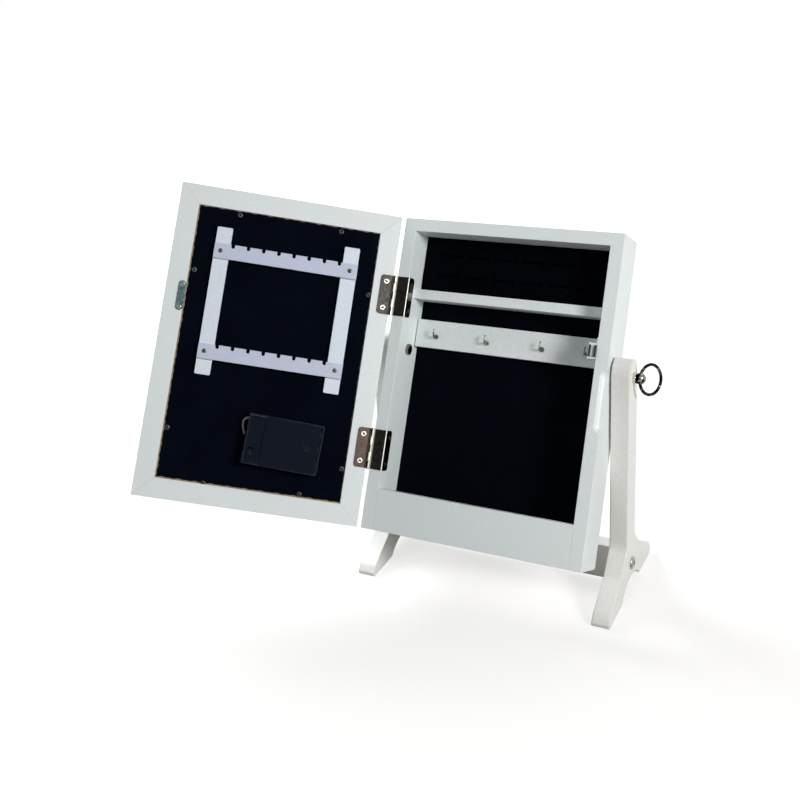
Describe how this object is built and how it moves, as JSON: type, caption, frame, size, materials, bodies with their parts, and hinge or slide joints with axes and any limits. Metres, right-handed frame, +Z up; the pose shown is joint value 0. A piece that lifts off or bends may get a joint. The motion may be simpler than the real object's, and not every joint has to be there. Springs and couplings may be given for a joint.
{
  "type": "tilting jewellery cabinet with lit mirror door",
  "caption": "Table-top mirror cabinet that tilts between two uprights, its hinged mirror door carrying lights, an earring rack and a battery box.",
  "frame": {"origin": "on the floor, midway between the uprights and straight below the pivot line", "axes": "+X to the right as the user faces the cabinet, +Y to the back, +Z up"},
  "size_m": [0.4447, 0.2738, 0.3863],
  "materials": {
    "case_paint": "satin cool white paint",
    "stand_paint": "satin warm white paint",
    "rail_paint": "satin white paint with a lilac cast",
    "felt": "matt black felt",
    "velvet_foam": "black velvet over foam",
    "fibreboard": "raw brown fibreboard",
    "mirror": "silvered, with two frosted light windows",
    "led_strip": "white strip board",
    "nickel": "bright nickel plate",
    "hook_nickel": "nickel plated wire",
    "hinge_nickel": "dark nickel plate",
    "black_steel": "near-black plated steel",
    "bolt_steel": "zinc plated steel",
    "pole_steel": "dark steel",
    "strike_zinc": "zinc plated steel",
    "washer_nylon": "white nylon",
    "catch_plastic": "white plastic",
    "box_plastic": "black moulded plastic",
    "switch_plastic": "black plastic",
    "cell_wrap": "plain sleeve over a steel can",
    "lead_pvc": "cream flexible plastic"
  },
  "bodies": {
    "stand": {"upright_right": "stand_paint", "upright_left": "stand_paint", "stretcher": "stand_paint", "stretcher_bolt_right": "bolt_steel", "stretcher_bolt_left": "bolt_steel"},
    "case": {"side_left": "case_paint", "side_right": "case_paint", "top_board": "case_paint", "front_rail": "case_paint", "bottom_board": "case_paint", "back_board": "case_paint", "back_felt": "felt", "ring_cushion": "velvet_foam", "shelf": "case_paint", "hook_rail": "rail_paint", "hook_1": "hook_nickel", "hook_2": "hook_nickel", "hook_3": "hook_nickel", "hook_4": "hook_nickel", "catch_body": "catch_plastic", "catch_pole_1": "pole_steel", "catch_pole_2": "pole_steel", "hinge_top_case_leaf": "hinge_nickel", "hinge_top_pin": "hinge_nickel", "hinge_low_case_leaf": "hinge_nickel", "hinge_low_pin": "hinge_nickel", "pivot_nut_right": "nickel", "pivot_nut_left": "nickel", "pivot_washer_right": "washer_nylon", "pivot_washer_left": "washer_nylon"},
    "door": {"door_stile_hinge": "case_paint", "door_stile_free": "case_paint", "door_rail_top": "case_paint", "door_rail_bottom": "case_paint", "mirror_glass": "mirror", "led_strip_hinge": "led_strip", "led_strip_free": "led_strip", "backing_board": "fibreboard", "backing_felt": "felt", "rack_bar_hinge": "case_paint", "rack_bar_free": "case_paint", "rack_rail_top": "rail_paint", "rack_rail_low": "rail_paint", "strike_plate": "strike_zinc", "battery_case": "box_plastic", "cell_1": "cell_wrap", "cell_2": "cell_wrap", "cell_3": "cell_wrap", "lead": "lead_pvc", "hinge_top_door_leaf": "hinge_nickel", "hinge_low_door_leaf": "hinge_nickel"},
    "box_lid": {"battery_lid": "box_plastic"},
    "box_switch": {"battery_switch": "switch_plastic"},
    "knob_r": {"knob_right": "nickel", "collar_right": "nickel"},
    "knob_l": {"knob_left": "nickel", "collar_left": "nickel"},
    "pull_ring_r": {"ring_right": "black_steel"},
    "pull_ring_l": {"ring_left": "black_steel"}
  },
  "joints": [
    {"name": "case_tilt", "type": "hinge", "parent": "stand", "child": "case", "pos_m": [0, 0, 0.2152], "axis": [-1, 0, 0], "range_deg": [-16.2, 28]},
    {"name": "door_swing", "type": "hinge", "parent": "case", "child": "door", "pos_m": [-0.1091, -0.03064, 0.20188], "axis": [0, 0.4384, 0.8988], "range_deg": [0, 148.8]},
    {"name": "knob_right_turn", "type": "hinge", "parent": "case", "child": "knob_r", "pos_m": [0.1318, 0, 0.2152], "axis": [1, 0, 0], "range_deg": [-21, 60]},
    {"name": "knob_left_turn", "type": "hinge", "parent": "case", "child": "knob_l", "pos_m": [-0.1318, 0, 0.2152], "axis": [-1, 0, 0], "range_deg": [-21, 60]},
    {"name": "ring_right_swing", "type": "hinge", "parent": "knob_r", "child": "pull_ring_r", "pos_m": [0.1318, 0, 0.2152], "axis": [0, 0.3633, 0.9317], "range_deg": [-150.3, 29.7]},
    {"name": "ring_left_swing", "type": "hinge", "parent": "knob_l", "child": "pull_ring_l", "pos_m": [-0.1318, 0, 0.2152], "axis": [0, -0.3633, -0.9317], "range_deg": [-118, 29.7]},
    {"name": "lid_slide", "type": "slide", "parent": "door", "child": "box_lid", "axis": [0.8548, 0.45, -0.2583], "range_m": [0, 0.021]},
    {"name": "switch_slide", "type": "slide", "parent": "door", "child": "box_switch", "axis": [0.0299, 0.4544, 0.8903], "range_m": [0, 0.0036]}
  ]
}
